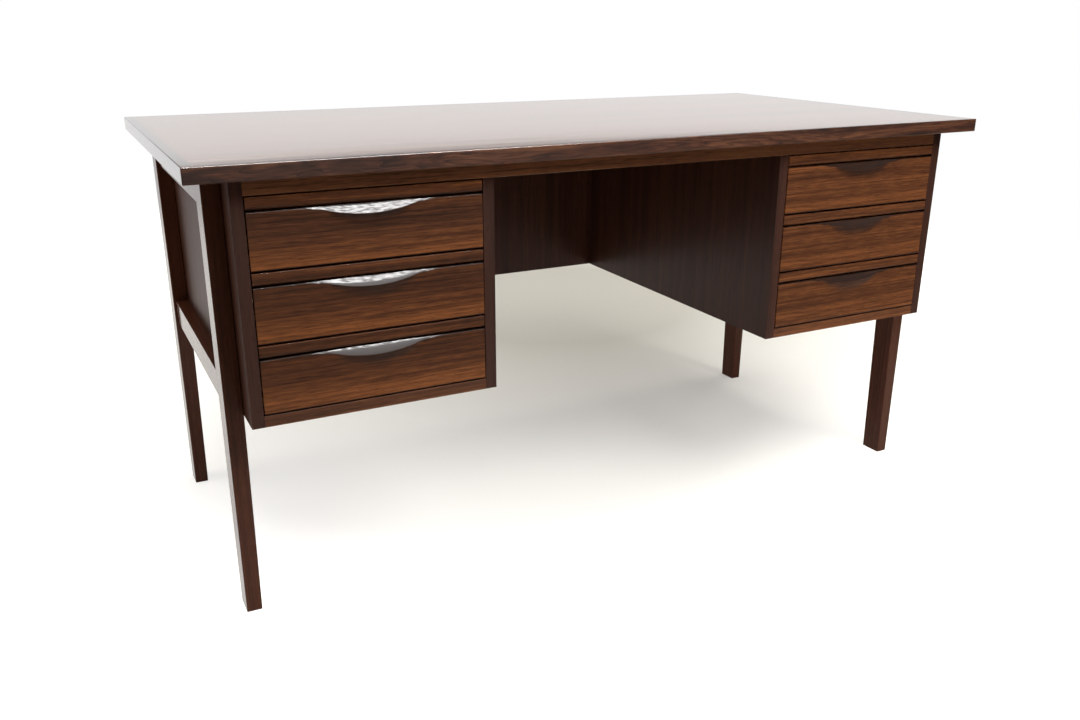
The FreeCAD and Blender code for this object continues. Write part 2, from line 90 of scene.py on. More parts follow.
class DeskFrontSizes(bpy.types.PropertyGroup):
    """Sizes of a drawer front and of the pull cut into it."""
    strip_height: length("Strip", "Plain strip above the pull", 19.5)
    strip_round: length("Strip rounding", "Rounding of the strip's lower edge", 5.8)
    groove_height: length("Groove height", "Pull groove at the ends of the front", 2.6)
    groove_depth: length("Groove depth", "Face to the back of the pull groove", 14)
    finger_rise: length("Finger rise", "Pull groove above the strip's lower edge, behind the strip", 8)
    scoop_drop: length("Scoop drop", "Lowest point of the scoop's rim under the groove", 15)
    scoop_depth: length("Scoop depth", "Inner end of the scoop's ramp behind the face", 6)
    scoop_half: length("Scoop half width", "Middle of the scoop to where its rim starts to fall", 111)
    lip_proud: length("Lip", "Lip under the scoop, ahead of the face", 3.5)
    lip_drop: length("Lip drop", "Lowest point under the groove at which the face starts to sweep out", 36)
    lip_half: length("Lip half width", "Half width of the lip on the face", 106)
    rim_round: length("Rim rounding", "Rounding of the scoop's rim", 0.6)
    ledge_round: length("Ledge rounding", "Rounding of the groove's lower edge at the ends", 1.0)
    edge_round: length("Edge rounding", "Rounding of the front's ends and upper edge", 0.25)
    heel_round: length("Heel rounding", "Rounding of the front's lower edge", 2.0)
    heel_set_up: length("Heel set up", "Lower edge of the front above the lower ends of the dovetails", 1.0)
    head_set_down: length("Head set down", "Upper edge of the front under the upper edge of the solid", 0.8)
    end_set_back: length("End set back", "Ends of the front behind the faces of the dovetails", 0.15)


class DeskFinish(bpy.types.PropertyGroup):
    """Colours of the woods."""
    front_light: colour("Front, light", "Light bands of the drawer fronts and pedestal bottoms", "985b32")
    front_body: colour("Front, body", "Main tone of the drawer fronts and pedestal bottoms", "643b23")
    front_deep: colour("Front, deep", "Dark bands of the fronts, the bottoms and the front rail", "3c2418")
    # The rail's tones are painted lighter than the fronts' to make up for the shadow that the top's overhang
    # casts on it
    rail_light: colour("Rail, light", "Light bands of the front rail", "94603c")
    rail_body: colour("Rail, body", "Main tone of the front rail", "7a4c30")
    top_light: colour("Top, light", "Light bands of the top", "96603a")
    top_body: colour("Top, body", "Main tone of the top", "764729")
    top_deep: colour("Top, deep", "Dark bands of the top", "46291b")
    edge_light: colour("Lipping, light", "Light bands of the long lippings", "805034")
    edge_body: colour("Lipping, body", "Main tone of the long lippings", "54301f")
    edge_deep: colour("Lipping, deep", "Dark bands of the long lippings", "26150f")
    side_light: colour("Carcass, light", "Light bands of the sides, back and short lippings", "5c392a")
    side_body: colour("Carcass, body", "Main tone of the sides, back and short lippings", "44281e")
    side_deep: colour("Carcass, deep", "Dark bands of the sides, back and short lippings", "291812")
    leg_light: colour("Frame, light", "Light bands of the end frames", "6e4230")
    leg_body: colour("Frame, body", "Main tone of the end frames", "563020")
    leg_deep: colour("Frame, deep", "Dark bands of the end frames", "331d15")
    # The black of the ring lines and pores, which the pulls' painted shade also darkens towards
    ink_and_shade: colour("Ink", "Black lines of the rosewood", "1c100c")
    oak_light: colour("Oak, light", "Early wood of the drawer boxes", "c49a68")
    oak_deep: colour("Oak, deep", "Late wood and pores of the pale woods", "94693d")
    beech: colour("Beech", "Runners, cleats and loose tenons", "b98a5c")
    edge_round: length("Edge rounding", "Softening of the square edges", 0.6)


class DeskStudio(bpy.types.PropertyGroup):
    """The floor, the lights and the camera."""
    floor_colour: colour("Floor", "Painted studio floor", "cfcabe")
    floor_lift: bpy.props.FloatProperty(name="Floor lift", default=1.0, min=0.0, max=1.0,
                                        description="White added to what is seen of the floor")
    key_power: power("Key", "Power of the soft front light", 56.0)
    ceiling_power: power("Ceiling", "Power of the soft light from above", 40.0)
    fill_power: power("Fill", "Power of each soft light at the sides and the back", 16.0)
    shine: power("Shine", "Power of the overhead light that only polish shows", 909.0)
    ambient: bpy.props.FloatProperty(name="Ambient", default=0.2, min=0.0,
                                     description="Strength of the light from all round")


# Node materials

# Sockets of the mix node that carry colours
MIX_FIRST = 6
MIX_SECOND = 7
MIX_RESULT = 2


def add_node(tree, kind, inputs=None, stops=None, **settings):
    """Adds a node with its settings, its inputs as values or links, and the stops of a colour ramp."""
    node = tree.nodes.new(kind)
    for name, value in settings.items():
        setattr(node, name, value)
    for name, value in (inputs or {}).items():
        if isinstance(value, bpy.types.NodeSocket):
            tree.links.new(value, node.inputs[name])
        else:
            node.inputs[name].default_value = value
    if stops:
        elements = node.color_ramp.elements
        while len(elements) < len(stops):
            elements.new(1.0)
        for element, (position, shade) in zip(elements, stops):
            element.position = position
            element.color = shade
    return node


def grey(level):
    """A grey as a colour."""
    return (level, level, level, 1.0)


def greys(stops, share=1.0):
    """The stops of a ramp of greys from places and levels."""
    return [(position, grey(share * level)) for position, level in stops]


def new_material(name):
    """An empty node material and its tree."""
    material = bpy.data.materials.new(name)
    material.use_nodes = True
    material.node_tree.nodes.clear()
    return material, material.node_tree


# Rosewood is cut from a solid that varies slowly along the grain: the rate there, next to 1 across it
GRAIN_STRETCH = 0.014
PORE_STRETCH = 0.05
WANDER_STRETCH = 0.16
# Sizes across the grain in millimetres
WANDER_SIZE = 60
BAND_SIZE = 22
STREAK_SIZE = 4
FIBRE_SIZE = 1.5
# Real pores are a quarter of this wide; they are drawn as coarse as they need to show
PORE_SIZE = 0.8
# Spacing of the waves in the lacquer, and of the specks where hands have worn it off
WAVE_SIZE = 30
SPECK_SIZE = 1.8
# A noise strays a quarter to each side of its middle
STRAY_SPAN = 4
# How much the bands, the streaks and the fibres say in the tone
BAND_SHARE = 1.0
STREAK_SHARE = 0.7
FIBRE_SHARE = 0.6
# Where the three tones of the wood lie
DEEP_TONE = 0.2
BODY_TONE = 0.5
LIGHT_TONE = 0.82
# Rings to a band, and the black line of a ring from its sharp edge on: place, strength
RING_COUNT = 9.0
RING_LINE = ((0.0, 1.0), (0.16, 0.4), (0.4, 0.0))
# Level of the noise, strength of the ink
PORE_STOPS = ((0.62, 0.0), (0.72, 0.5))
# How far a piece's place in the solid is shifted along X, Y and Z
SHIFT_SHARES = (1.0, 0.7, 1.3)
# The lower edge and the height of the leaf of veneer that the drawers share, in millimetres
LEAF_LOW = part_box("left_bottom_drawer_front")[0].z / MM
LEAF_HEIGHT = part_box("left_middle_drawer_front")[0].z / MM - LEAF_LOW
# How far the leaf slides with the height of the drawer, so that no two fronts are quite alike
LEAF_SLIDE = 0.06
# Painted shade on each drawer front, from its lower edge to its upper edge: place, added tone. It is
# lightest at the lower edge and darkest about halfway up, under the lip
FRONT_SHADE_TONES = ((0.0, 0.61), (0.3, 0.53), (0.5, 0.43), (0.78, 0.5), (0.84, 0.45), (1.0, 0.47))
# Place in the leaf where the pull ends under the strip
PULL_END = (0.79, 0.8)
# Upright share of the normal where the pull's painted shade starts and where it is full
PULL_SHADE_LEAN = (0.02, 0.3)
# Level of the specks where lacquer is worn off and where it is whole
SPECK_EDGE = (0.43, 0.56)
# Where the lacquer starts to shine and where it shines fully, from 0 face on to 1 edge on
LOW_ANGLE = (0.5, 0.85)
# Depth of the fibres in millimetres, and the share of it that shows
FIBRE_RELIEF = 0.04
FIBRE_BUMP = 0.15
WOOD_ROUGHNESS = 0.45
WOOD_INDEX = 1.5
LACQUER_INDEX = 1.6


def leaf_places(tree, spot):
    """Places on the leaf of veneer that every drawer shares, and how high in it they lie, from 0 to 1."""
    axes = add_node(tree, "ShaderNodeSeparateXYZ", {"Vector": spot}).outputs
    height = add_node(tree, "ShaderNodeMath", {
        0: axes["Z"], 1: LEAF_LOW + LEAF_HEIGHT, 2: LEAF_LOW}, operation="WRAP").outputs["Value"]
    slide = add_node(tree, "ShaderNodeMath", {
        0: axes["Z"], 1: LEAF_SLIDE, 2: height}, operation="MULTIPLY_ADD").outputs["Value"]
    place = add_node(tree, "ShaderNodeCombineXYZ", {"X": axes["X"], "Y": axes["Y"], "Z": slide})
    rise = add_node(tree, "ShaderNodeMapRange", {
        "Value": height, "From Min": LEAF_LOW, "From Max": LEAF_LOW + LEAF_HEIGHT})
    return place.outputs["Vector"], rise.outputs["Result"]


def drawn_out(grain, stretch):
    """The scale of places that are drawn out along the grain, so that a noise on them runs in streaks."""
    scale = [1.0] * 3
    scale[grain] = stretch
    return scale


def pull_painted_shade(tree, rise, shade_and_wear):
    """Painted shade on a pull: how far its faces that lean, up or down, are darkened, but not the strip
    above them.
    """
    normal = add_node(tree, "ShaderNodeNewGeometry").outputs["Normal"]
    upright = add_node(tree, "ShaderNodeSeparateXYZ", {"Vector": normal}).outputs["Z"]
    lean = add_node(tree, "ShaderNodeMath", {0: upright}, operation="ABSOLUTE").outputs["Value"]
    leaning = add_node(tree, "ShaderNodeMapRange", {
        "Value": lean, "From Min": PULL_SHADE_LEAN[0], "From Max": PULL_SHADE_LEAN[1], "To Max": shade_and_wear})
    below_strip = add_node(tree, "ShaderNodeMapRange", {
        "Value": rise, "From Min": PULL_END[0], "From Max": PULL_END[1], "To Min": 1.0, "To Max": 0.0})
    return add_node(tree, "ShaderNodeMath", {
        0: leaning.outputs["Result"], 1: below_strip.outputs["Result"]},
        operation="MULTIPLY").outputs["Value"]


def lacquer(tree, slow, polish, shade_and_wear):
    """The strength of the lacquer: more at a low angle, and less in the specks where it is rubbed off."""
    facing = add_node(tree, "ShaderNodeLayerWeight", {"Blend": 0.5}).outputs["Facing"]
    shine = add_node(tree, "ShaderNodeMapRange", {
        "Value": facing, "From Min": LOW_ANGLE[0], "From Max": LOW_ANGLE[1],
        "To Min": polish[0], "To Max": polish[1]})
    specks = add_node(tree, "ShaderNodeTexNoise", {"Vector": slow, "Scale": 1 / SPECK_SIZE, "Detail": 2.0})
    whole = add_node(tree, "ShaderNodeMapRange", {
        "Value": specks.outputs["Fac"], "From Min": SPECK_EDGE[0], "From Max": SPECK_EDGE[1],
        "To Min": 1 - shade_and_wear})
    return add_node(tree, "ShaderNodeMath", {
        0: shine.outputs["Result"], 1: whole.outputs["Result"]}, operation="MULTIPLY").outputs["Value"]


def rosewood(name, grain, tones, contrast=1.0, figure=0.0, wander=2.0, shift=0.0, matched_and_shaded=False,
             shade_and_wear=0.0, polish=(0.1, 1.0), haze=0.06, satin=0.08, waves=0.0):
    """Rosewood under a rubbed lacquer: fine red-brown and dark streaks, pores, and a shine at low angles.

    tones are light, body, deep and the black of the ring lines and pores, towards which painted shade also
    darkens. grain is the axis that the fibres follow, wander how far they stray across it in millimetres,
    and figure how strongly black ring lines show. The flag for the drawer fronts repeats the same leaf of
    veneer on
    each drawer and paints shade on it: lightest at its lower edge, darkest about halfway up under the lip,
    and dark on the pull's faces that lean. The shade-and-wear strength sets how dark that painted shade on
    the pull is and how far the lacquer is taken off in specks. polish is the strength of the lacquer seen
    straight on and at a low angle, haze its roughness, waves its unevenness in millimetres, and satin
    the strength of the shine of the wood under it.
    """
    light, body, deep, ink_and_shade = tones
    material, tree = new_material(name)
    place = add_node(tree, "ShaderNodeTexCoord").outputs["Object"]
    spot = add_node(tree, "ShaderNodeMapping", {"Vector": place, "Scale": (1 / MM,) * 3}).outputs["Vector"]
    if matched_and_shaded:
        spot, rise = leaf_places(tree, spot)
    along = add_node(tree, "ShaderNodeMapping", {
        "Vector": spot, "Location": [shift * share for share in SHIFT_SHARES],
        "Scale": drawn_out(grain, GRAIN_STRETCH)}).outputs["Vector"]
    short = add_node(tree, "ShaderNodeMapping", {
        "Vector": spot, "Scale": drawn_out(grain, PORE_STRETCH)}).outputs["Vector"]
    slow = add_node(tree, "ShaderNodeMapping", {
        "Vector": spot, "Location": (shift,) * 3,
        "Scale": drawn_out(grain, WANDER_STRETCH)}).outputs["Vector"]

    drift = add_node(tree, "ShaderNodeTexNoise", {"Vector": slow, "Scale": 1 / WANDER_SIZE, "Detail": 2.0})
    stray = add_node(tree, "ShaderNodeVectorMath", {
        0: drift.outputs["Color"], 1: (0.5, 0.5, 0.5)}, operation="SUBTRACT")
    bent = add_node(tree, "ShaderNodeVectorMath", {
        0: stray.outputs["Vector"], 1: (STRAY_SPAN * wander,) * 3, 2: along},
        operation="MULTIPLY_ADD").outputs["Vector"]
    bands = add_node(tree, "ShaderNodeTexNoise", {
        "Vector": bent, "Scale": 1 / BAND_SIZE, "Detail": 2.0}).outputs["Fac"]
    streaks = add_node(tree, "ShaderNodeTexNoise", {
        "Vector": bent, "Scale": 1 / STREAK_SIZE, "Detail": 3.0}).outputs["Fac"]
    fibres = add_node(tree, "ShaderNodeTexNoise", {
        "Vector": short, "Scale": 1 / FIBRE_SIZE, "Detail": 2.0}).outputs["Fac"]
    tone = BODY_TONE - contrast * (BAND_SHARE + STREAK_SHARE + FIBRE_SHARE) / 2
    for layer, share in ((bands, BAND_SHARE), (streaks, STREAK_SHARE), (fibres, FIBRE_SHARE)):
        tone = add_node(tree, "ShaderNodeMath", {
            0: layer, 1: contrast * share, 2: tone}, operation="MULTIPLY_ADD").outputs["Value"]
    if matched_and_shaded:
        # Painted shade on each front: lightest at its lower edge, darkest about halfway up under the lip
        leaf = add_node(tree, "ShaderNodeValToRGB", {"Fac": rise}, stops=greys(FRONT_SHADE_TONES))
        lifted = add_node(tree, "ShaderNodeMath", {0: tone, 1: leaf.outputs["Color"]}, operation="ADD")
        tone = add_node(tree, "ShaderNodeMath", {
            0: lifted.outputs["Value"], 1: BODY_TONE}, operation="SUBTRACT").outputs["Value"]
    wood = add_node(tree, "ShaderNodeValToRGB", {"Fac": tone}, stops=[
        (DEEP_TONE, deep), (BODY_TONE, body), (LIGHT_TONE, light)]).outputs["Color"]

    rings = add_node(tree, "ShaderNodeMath", {0: bands, 1: RING_COUNT}, operation="MULTIPLY")
    ring = add_node(tree, "ShaderNodeMath", {0: rings.outputs["Value"]}, operation="FRACT")
    line = add_node(tree, "ShaderNodeValToRGB", {
        "Fac": ring.outputs["Value"]}, stops=greys(RING_LINE, figure))
    pores = add_node(tree, "ShaderNodeTexNoise", {"Vector": short, "Scale": 1 / PORE_SIZE, "Detail": 1.0})
    pore = add_node(tree, "ShaderNodeValToRGB", {"Fac": pores.outputs["Fac"]}, stops=greys(PORE_STOPS))
    inked = [line.outputs["Color"], pore.outputs["Color"]]
    # Painted shade: the pull's leaning faces are mixed towards the black of the ring lines
    if matched_and_shaded:
        inked.append(pull_painted_shade(tree, rise, shade_and_wear))
    for share in inked:
        wood = add_node(tree, "ShaderNodeMix", {
            "Factor": share, MIX_FIRST: wood, MIX_SECOND: ink_and_shade}, data_type="RGBA").outputs[MIX_RESULT]

    relief = add_node(tree, "ShaderNodeBump", {
        "Strength": FIBRE_BUMP, "Distance": FIBRE_RELIEF * MM, "Height": fibres})
    uneven = add_node(tree, "ShaderNodeTexNoise", {"Vector": slow, "Scale": 1 / WAVE_SIZE, "Detail": 1.0})
    film = add_node(tree, "ShaderNodeBump", {
        "Strength": 1.0, "Distance": waves * MM, "Height": uneven.outputs["Fac"]})
    shader = add_node(tree, "ShaderNodeBsdfPrincipled", {
        "Base Color": wood, "Roughness": WOOD_ROUGHNESS, "Normal": relief.outputs["Normal"],
        "IOR": WOOD_INDEX, "Specular IOR Level": satin,
        "Coat Weight": lacquer(tree, slow, polish, shade_and_wear), "Coat Roughness": haze,
        "Coat IOR": LACQUER_INDEX, "Coat Normal": film.outputs["Normal"]})
    add_node(tree, "ShaderNodeOutputMaterial", {"Surface": shader.outputs["BSDF"]})
    return material


# Pale hardwood: stretch along the grain, sizes across it in millimetres, and levels of the noise
PALE_STRETCH = 0.03
PALE_RING_SIZE = 9
PALE_PORE_SIZE = 0.9
PALE_DEEP = 0.35
PALE_LIGHT = 0.6
PALE_PORE_STOPS = ((0.58, 0.0), (0.68, 0.6))
# Depth of the pores in millimetres, and the share of it that shows
PALE_RELIEF = 0.05
PALE_BUMP = 0.2


def plain_wood(name, grain, light, deep, roughness):
    """Planed pale hardwood with a thin matt finish: straight soft bands and short darker pores."""
    material, tree = new_material(name)
    place = add_node(tree, "ShaderNodeTexCoord").outputs["Object"]
    scale = [1 / MM] * 3
    scale[grain] *= PALE_STRETCH
    along = add_node(tree, "ShaderNodeMapping", {"Vector": place, "Scale": scale}).outputs["Vector"]
    rings = add_node(tree, "ShaderNodeTexNoise", {
        "Vector": along, "Scale": 1 / PALE_RING_SIZE, "Detail": 3.0})
    bands = add_node(tree, "ShaderNodeValToRGB", {"Fac": rings.outputs["Fac"]}, stops=[
        (PALE_DEEP, deep), (PALE_LIGHT, light)])
    pores = add_node(tree, "ShaderNodeTexNoise", {
        "Vector": along, "Scale": 1 / PALE_PORE_SIZE, "Detail": 2.0})
    pore = add_node(tree, "ShaderNodeValToRGB", {"Fac": pores.outputs["Fac"]}, stops=greys(PALE_PORE_STOPS))
    wood = add_node(tree, "ShaderNodeMix", {
        "Factor": pore.outputs["Color"], MIX_FIRST: bands.outputs["Color"], MIX_SECOND: deep},
        data_type="RGBA").outputs[MIX_RESULT]
    relief = add_node(tree, "ShaderNodeBump", {
        "Strength": PALE_BUMP, "Distance": PALE_RELIEF * MM, "Height": pores.outputs["Fac"]})
    shader = add_node(tree, "ShaderNodeBsdfPrincipled", {
        "Base Color": wood, "Roughness": roughness, "Normal": relief.outputs["Normal"], "IOR": WOOD_INDEX})
    add_node(tree, "ShaderNodeOutputMaterial", {"Surface": shader.outputs["BSDF"]})
    return material


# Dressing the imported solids

# Millimetres within which corners are one, and the least angle of an edge that is rounded
WELD_REACH = 0.01
EDGE_ANGLE = 40
EDGE_SEGMENTS = 2


def dress(node, material, edge=0.0):
    """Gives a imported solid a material, and rounds its square edges by edge."""
    piece = nodes[node]
    piece.data.materials.clear()
    piece.data.materials.append(material)
    if edge:
        weld = piece.modifiers.new("Weld", "WELD")
        weld.merge_threshold = WELD_REACH * MM
        bevel = piece.modifiers.new("Edges", "BEVEL")
        bevel.width = edge
        bevel.segments = EDGE_SEGMENTS
        bevel.limit_method = "ANGLE"
        bevel.angle_limit = math.radians(EDGE_ANGLE)


# The drawer fronts

# How far the ramp bows out, and how long it is, as shares of its rise
RAMP_BOW = 0.13
RAMP_LENGTH = 1.2
# Share of the rim's radii that its shoulders take
SHOULDER_SHARE = 0.4
# Points along each stretch of the outline, and places along the width
FACE_STEPS = 14
SWEEP_STEPS = 14
RIM_STEPS = 8
RAMP_STEPS = 16
TURN_STEPS = 9
END_STEPS = 5
WIDTH_STEPS = 131
# Degrees from which an edge of a front is shaded sharp
SHARP_ANGLE = 35
# Keeps a division from failing where two points are one
TINY = 1e-9


def scoop_fall(x, half, drop):
    """How far the scoop's rim has fallen at x: three tangent arcs, 0 at +-half and drop in the middle."""
    radii = (half ** 2 + drop ** 2) / (2 * drop)
    shoulder = SHOULDER_SHARE * radii
    valley = (1 - SHOULDER_SHARE) * radii
    meet = valley * math.sin(2 * math.atan(drop / half))
    reach = np.abs(x)
    inner = drop - (valley - np.sqrt(valley ** 2 - np.minimum(reach, meet) ** 2))
    outer = shoulder - np.sqrt(shoulder ** 2 - np.clip(half - reach, 0, half - meet) ** 2)
    return np.where(reach < meet, inner, np.where(reach < half, outer, 0.0))


def front_stations(half, rounding):
    """Places along the width, close together where the ends are rounded, with their edge inset."""
    angle = np.linspace(0, math.pi / 2, END_STEPS)
    from_end = rounding * (1 - np.cos(angle))
    inset = rounding * (1 - np.sin(angle))
    middle = np.linspace(-half + 2 * rounding, half - 2 * rounding, WIDTH_STEPS)
    places = np.concatenate([-half + from_end, middle, (half - from_end)[::-1]])
    insets = np.concatenate([inset, np.zeros(len(middle)), inset[::-1]])
    return places, insets


def front_profile(x, height, depth, sizes):
    """The outline in (depth, height) at each place x, as an array of places by points by 2.

    With the rim's drop R(x), the lip's share q(x) and the sweep S, which is how much further the lip
    drops than the scoop, the face runs out to the rim along d = -lip q t^2, h = ledge - R - q S (1 - t).
    Where there is no lip it turns over in a quarter circle. The ramp, whose height with its bow k is
    h = ledge - R (1 - (1 + k) u + k u^2), runs back from the rim at one slope all along it.
    """
    edge = sizes.edge_round
    heel = sizes.heel_round
    foot = sizes.heel_set_up
    head = height - sizes.head_set_down
    strip_low = height - sizes.strip_height
    ledge = strip_low - sizes.groove_height
    rim_drop = scoop_fall(x, sizes.scoop_half, sizes.scoop_drop)[:, None]
    lip_drop = scoop_fall(x, sizes.lip_half, sizes.lip_drop)[:, None]
    sweep = sizes.lip_drop - sizes.scoop_drop
    share = np.maximum(lip_drop - rim_drop, 0) / sweep
    ledge_round = sizes.ledge_round

    def lower(t):
        """The sweep out to the rim, from the face at t = 0 to the rim at t = 1."""
        turn = t * math.pi / 2
        d = -share * sizes.lip_proud * t ** 2 + (1 - share) * ledge_round * (1 - np.cos(turn))
        fall = share * sweep * (1 - t) + (1 - share) * ledge_round * (1 - np.sin(turn))
        return np.stack([d, ledge - rim_drop - fall], -1)

    def ramp(u):
        """The ramp, from the rim at u = 0 to the groove at u = 1."""
        rim_d = -share * sizes.lip_proud + (1 - share) * ledge_round
        slope = (sizes.scoop_depth + sizes.lip_proud) / sizes.scoop_drop
        d = rim_d + np.minimum(slope * rim_drop, sizes.scoop_depth - rim_d) * u
        return np.stack([d, ledge - rim_drop * (1 - (1 + RAMP_BOW) * u + RAMP_BOW * u ** 2)], -1)

    up = np.linspace(0, 1, FACE_STEPS)[None, :-1]
    face_top = lower(0 * share)[..., 1]
    face_h = foot + heel + (face_top - foot - heel) * up
    face = np.stack([0 * face_h, face_h], -1)
    last = 1 - sizes.rim_round / (share * sweep + (1 - share) * ledge_round)
    sweep_out = lower(last * np.linspace(0, 1, SWEEP_STEPS)[None, :])
    first = sizes.rim_round / np.maximum(RAMP_LENGTH * rim_drop, 2 * sizes.rim_round)
    bend = np.linspace(0, 1, RIM_STEPS)[None, 1:-1, None]
    rim = (lower(last) * (1 - bend) ** 2 + 2 * lower(1 + 0 * last) * bend * (1 - bend)
           + ramp(first) * bend ** 2)
    scoop = ramp(first + (1 - first) * np.linspace(0, 1, RAMP_STEPS)[None, :])

    turn = np.linspace(0, math.pi / 2, TURN_STEPS)
    small = sizes.strip_round
    roof = strip_low + sizes.finger_rise
    rest = np.concatenate([
        [[sizes.scoop_depth, ledge], [sizes.groove_depth, ledge], [sizes.groove_depth, roof],
         [sizes.scoop_depth, roof], [sizes.scoop_depth, strip_low]],
        np.stack([small - small * np.sin(turn), strip_low + small - small * np.cos(turn)], -1),
        [[0, (strip_low + small + head) / 2]],
        np.stack([edge - edge * np.cos(turn), head - edge + edge * np.sin(turn)], -1),
        [[depth / 2, head], [depth, head], [depth, height / 2], [depth, foot], [depth / 2, foot]],
        np.stack([heel - heel * np.sin(turn[:-1]), foot + heel - heel * np.cos(turn[:-1])], -1),
    ])
    rest = np.broadcast_to(rest[None], (len(x),) + rest.shape)
    return np.concatenate([face, sweep_out, rim, scoop, rest], 1)


def inset_profile(profile, inset):
    """Moves each outline inwards, square to itself, by the inset of its place."""
    ahead = np.roll(profile, -1, 1) - profile
    behind = profile - np.roll(profile, 1, 1)
    along = sum(step / np.maximum(np.linalg.norm(step, axis=2, keepdims=True), TINY)
                for step in (ahead, behind))
    along /= np.maximum(np.linalg.norm(along, axis=2, keepdims=True), TINY)
    inwards = np.stack([along[..., 1], -along[..., 0]], -1)
    return profile + inwards * inset[:, None, None]


def drawer_front(drawer, sizes, material):
    """A drawer front: its outline carried along the width and closed by a face at each end."""
    low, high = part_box(drawer + "_front")
    middle = (low.x + high.x) / 2
    face = low.y + sizes.lip_proud
    half = (high.x - low.x) / 2 - sizes.end_set_back
    x, inset = front_stations(half, sizes.edge_round)
    outline = inset_profile(front_profile(x, high.z - low.z, high.y - face, sizes), inset)
    stations, points = outline.shape[:2]
    place = np.broadcast_to((x + middle)[:, None], (stations, points))
    vertices = np.stack([place, face + outline[..., 0], low.z + outline[..., 1]], -1).reshape(-1, 3)

    first = np.arange(stations - 1)[:, None] * points
    second = first + points
    here = np.arange(points)[None, :]
    following = (here + 1) % points
    quads = np.stack([first + here, second + here, second + following, first + following], -1)
    ends = [list(range(points)), list(range((stations - 1) * points, stations * points))[::-1]]
    mesh = bpy.data.meshes.new(drawer + "_scooped_front")
    mesh.from_pydata(vertices.tolist(), [], quads.reshape(-1, 4).tolist() + ends)
    mesh.validate()
    mesh.shade_smooth()
    mesh.set_sharp_from_angle(angle=math.radians(SHARP_ANGLE))
    mesh.materials.append(material)
    piece = bpy.data.objects.new(drawer + "_scooped_front", mesh)
    bpy.context.scene.collection.objects.link(piece)
    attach(piece, drawer)
    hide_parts(drawer + "_front")


def tones_of(finish, wood):
    """The light, body and deep tones of one of the woods, and the black of its ring lines and pores, towards
    which painted shade also darkens.
    """
    return [getattr(finish, "%s_%s" % (wood, tone)) for tone in ("light", "body", "deep")] + [finish.ink_and_shade]


class DESK_OT_drawer_fronts(bpy.types.Operator):
    """Makes the six drawer fronts with their scooped pulls"""
    bl_idname = "desk.drawer_fronts"
    bl_label = "Drawer fronts"

    def execute(self, context):
        tones = tones_of(context.scene.desk_finish, "front")
        # Painted shade darkens each front about halfway up, under the lip, and on the pull's leaning faces
        material = rosewood("rosewood_drawer_front", X, tones, shade_and_wear=0.85, matched_and_shaded=True, satin=0.05)
        for drawer in DRAWERS:
            drawer_front(drawer, context.scene.desk_fronts, material)
        return {"FINISHED"}


class DESK_OT_top(bpy.types.Operator):
    """Finishes the tabletop, its lippings and corner blocks"""
    bl_idname = "desk.top"
    bl_label = "Top"

    def execute(self, context):
        finish = context.scene.desk_finish
        veneer = rosewood("rosewood_top_veneer", X, tones_of(finish, "top"), wander=5, shift=310,
                          satin=0.75, waves=0.035)
        dress("tabletop_panel", veneer)
        figured = rosewood("rosewood_figured_lipping", X, tones_of(finish, "edge"), contrast=0.9,
                           figure=0.75, wander=17, shift=70, satin=0.14)
        for node in ("front_lipping", "back_lipping"):
            dress(node, figured)
        tones = tones_of(finish, "side")
        short = rosewood("rosewood_short_lipping", Y, tones, figure=0.5, wander=12, shift=140, satin=0.75)
        for node in ("left_lipping", "right_lipping"):
            dress(node, short)
        block = rosewood("rosewood_corner_block", X, tones, figure=0.5, wander=12, shift=190, satin=0.75)
        dress("corner_blocks", block)
        return {"FINISHED"}


class DESK_OT_carcass(bpy.types.Operator):
    """Finishes the pedestals, the front rail and the back panel"""
    bl_idname = "desk.carcass"
    bl_label = "Carcass"

    def execute(self, context):
        finish = context.scene.desk_finish
        upright = rosewood("rosewood_side_veneer", Z, tones_of(finish, "side"), contrast=0.5, wander=4,
                           shift=20, polish=(0.1, 0.0), haze=0.25)
        dress("back_panel", upright, finish.edge_round)
        across = rosewood("rosewood_pedestal_bottom", X, tones_of(finish, "front"), contrast=0.8, shift=230)
        for hand in HANDS:
            dress(hand + "_outer_side", upright, finish.edge_round)
            dress(hand + "_inner_side", upright, finish.edge_round)
            dress(hand + "_pedestal_bottom", across, finish.edge_round)
        # Painted light: the rail's tones are lighter than the fronts' to make up for the shadow of the top's
        # overhang
        warm = (finish.rail_light, finish.rail_body, finish.front_deep, finish.ink_and_shade)
        dress("front_rail", rosewood("rosewood_front_rail", X, warm, shift=400), finish.edge_round)
        return {"FINISHED"}


class DESK_OT_end_frames(bpy.types.Operator):
    """Finishes the legs and the rails of the end frames"""
    bl_idname = "desk.end_frames"
    bl_label = "End frames"

    def execute(self, context):
        finish = context.scene.desk_finish
        tones = tones_of(finish, "leg")
        leg = rosewood("rosewood_leg", Z, tones, contrast=0.5, shift=520,
                       polish=(0.1, 0.6), satin=0.04)
        rail = rosewood("rosewood_frame_rail", Y, tones, contrast=0.5, shift=610,
                        polish=(0.1, 0.6), satin=0.04)
        for hand in HANDS:
            dress(hand + "_front_leg", leg)
            dress(hand + "_back_leg", leg)
            dress(hand + "_upper_rail", rail, finish.edge_round)
            dress(hand + "_stretcher", rail, finish.edge_round)
        return {"FINISHED"}


